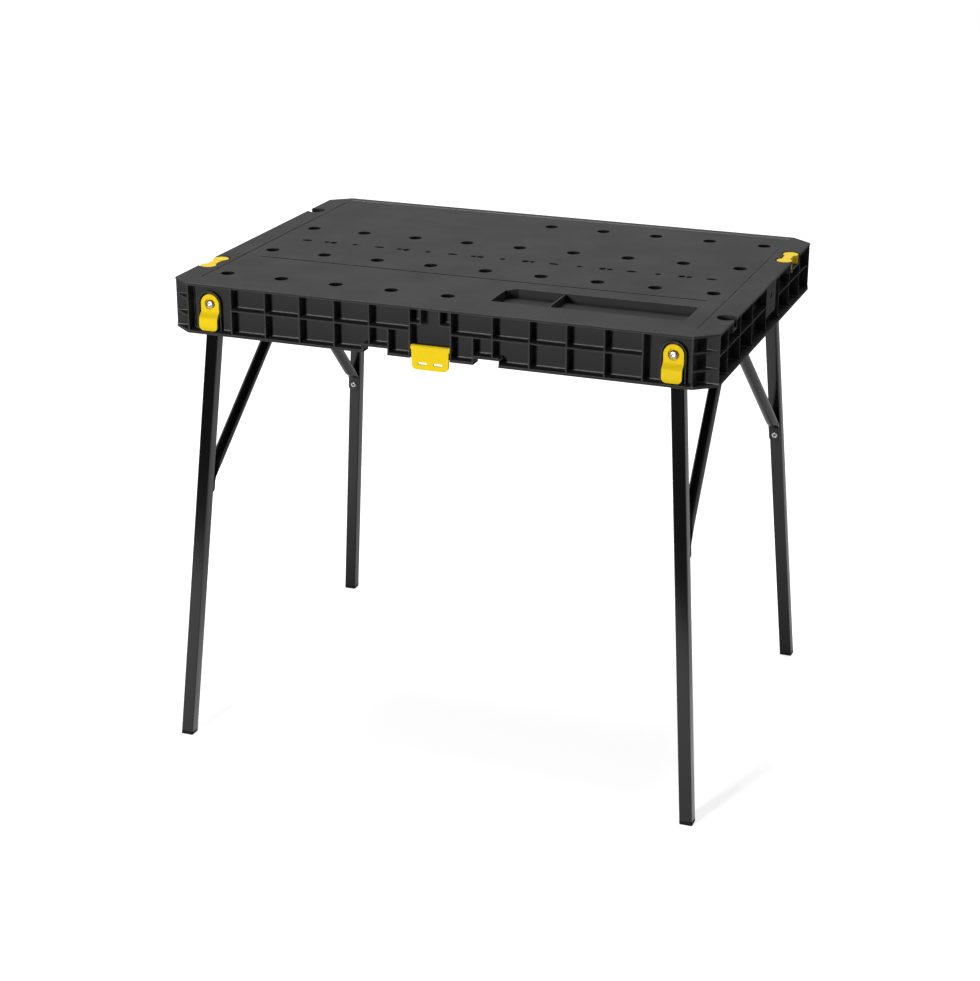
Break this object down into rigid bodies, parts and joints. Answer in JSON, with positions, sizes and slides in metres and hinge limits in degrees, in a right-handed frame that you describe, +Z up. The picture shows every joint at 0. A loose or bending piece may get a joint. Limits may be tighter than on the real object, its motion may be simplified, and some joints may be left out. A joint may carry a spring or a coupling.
{
  "type": "folding workbench",
  "caption": "Folding workbench: ribbed moulded deck with bench dog holes and a tray, on splayed square legs with braces that fold into the skirt.",
  "frame": {"origin": "on the floor under the middle of the deck", "axes": "+Z up, X along the long sides, front towards -Y"},
  "size_m": [0.851, 0.6632, 0.745],
  "materials": {
    "resin": "fine-grained moulded resin",
    "painted_steel": "semi-gloss black paint",
    "bright_steel": "bright zinc",
    "yellow": "smooth yellow plastic",
    "rubber": "matt black"
  },
  "bodies": {
    "deck": {"worktop": "resin", "brace_bracket_left": "painted_steel", "bracket_screw_a_left": "bright_steel", "bracket_screw_b_left": "bright_steel", "side_screw_left": "bright_steel", "brace_bracket_right": "painted_steel", "bracket_screw_a_right": "bright_steel", "bracket_screw_b_right": "bright_steel", "side_screw_right": "bright_steel", "pivot_bolt_front_left": "bright_steel", "pivot_nut_front_left": "bright_steel", "brace_pin_front_left": "bright_steel", "pivot_bolt_front_right": "bright_steel", "pivot_nut_front_right": "bright_steel", "brace_pin_front_right": "bright_steel", "pivot_bolt_rear_left": "bright_steel", "pivot_nut_rear_left": "bright_steel", "brace_pin_rear_left": "bright_steel", "pivot_bolt_rear_right": "bright_steel", "pivot_nut_rear_right": "bright_steel", "brace_pin_rear_right": "bright_steel", "hasp_pin": "bright_steel"},
    "leg_front_left": {"leg_tube_front_left": "painted_steel", "brace_front_left": "painted_steel", "brace_rivet_front_left": "bright_steel", "foot_cap_front_left": "rubber", "pivot_washer_front_left": "bright_steel"},
    "leg_front_right": {"leg_tube_front_right": "painted_steel", "brace_front_right": "painted_steel", "brace_rivet_front_right": "bright_steel", "foot_cap_front_right": "rubber", "pivot_washer_front_right": "bright_steel"},
    "leg_rear_left": {"leg_tube_rear_left": "painted_steel", "brace_rear_left": "painted_steel", "brace_rivet_rear_left": "bright_steel", "foot_cap_rear_left": "rubber", "pivot_washer_rear_left": "bright_steel"},
    "leg_rear_right": {"leg_tube_rear_right": "painted_steel", "brace_rear_right": "painted_steel", "brace_rivet_rear_right": "bright_steel", "foot_cap_rear_right": "rubber", "pivot_washer_rear_right": "bright_steel"},
    "latch_front_left": {"leg_latch_front_left": "yellow"},
    "latch_front_right": {"leg_latch_front_right": "yellow"},
    "latch_rear_left": {"leg_latch_rear_left": "yellow"},
    "latch_rear_right": {"leg_latch_rear_right": "yellow"},
    "hasp": {"hasp": "yellow"},
    "key_right": {"link_key_right": "yellow"},
    "key_left": {"link_key_left": "yellow"}
  },
  "joints": [
    {"name": "fold_front_left", "type": "hinge", "parent": "deck", "child": "leg_front_left", "pos_m": [-0.3616, -0.2691, 0.7085], "axis": [0.0085, -0.9937, 0.1115], "range_deg": [0, 92.2]},
    {"name": "fold_front_right", "type": "hinge", "parent": "deck", "child": "leg_front_right", "pos_m": [0.3616, -0.2691, 0.7085], "axis": [0.0085, 0.9937, -0.1115], "range_deg": [0, 96]},
    {"name": "fold_rear_left", "type": "hinge", "parent": "deck", "child": "leg_rear_left", "pos_m": [-0.3616, 0.2691, 0.7085], "axis": [-0.0085, -0.9937, -0.1115], "range_deg": [0, 96]},
    {"name": "fold_rear_right", "type": "hinge", "parent": "deck", "child": "leg_rear_right", "pos_m": [0.3616, 0.2691, 0.7085], "axis": [-0.0085, 0.9937, 0.1115], "range_deg": [0, 92.2]},
    {"name": "release_front_left", "type": "hinge", "parent": "deck", "child": "latch_front_left", "pos_m": [-0.3614, -0.2883, 0.72614], "axis": [-1, 0, 0], "range_deg": [0, 7], "stiffness_Nm_per_rad": 0.4, "springref_deg": -5.73},
    {"name": "release_front_right", "type": "hinge", "parent": "deck", "child": "latch_front_right", "pos_m": [0.3614, -0.2883, 0.72614], "axis": [-1, 0, 0], "range_deg": [0, 7], "stiffness_Nm_per_rad": 0.4, "springref_deg": -5.73},
    {"name": "release_rear_left", "type": "hinge", "parent": "deck", "child": "latch_rear_left", "pos_m": [-0.3614, 0.2883, 0.72614], "axis": [1, 0, 0], "range_deg": [0, 7], "stiffness_Nm_per_rad": 0.4, "springref_deg": -5.73},
    {"name": "release_rear_right", "type": "hinge", "parent": "deck", "child": "latch_rear_right", "pos_m": [0.3614, 0.2883, 0.72614], "axis": [1, 0, 0], "range_deg": [0, 7], "stiffness_Nm_per_rad": 0.4, "springref_deg": -5.73},
    {"name": "hasp_swing", "type": "hinge", "parent": "deck", "child": "hasp", "pos_m": [0, -0.301, 0.683], "axis": [-1, 0, 0], "range_deg": [0, 100]},
    {"name": "link_right", "type": "slide", "parent": "deck", "child": "key_right", "axis": [0, 0, 1], "range_m": [0, 0.05]},
    {"name": "link_left", "type": "slide", "parent": "deck", "child": "key_left", "axis": [0, 0, 1], "range_m": [0, 0.05]}
  ]
}
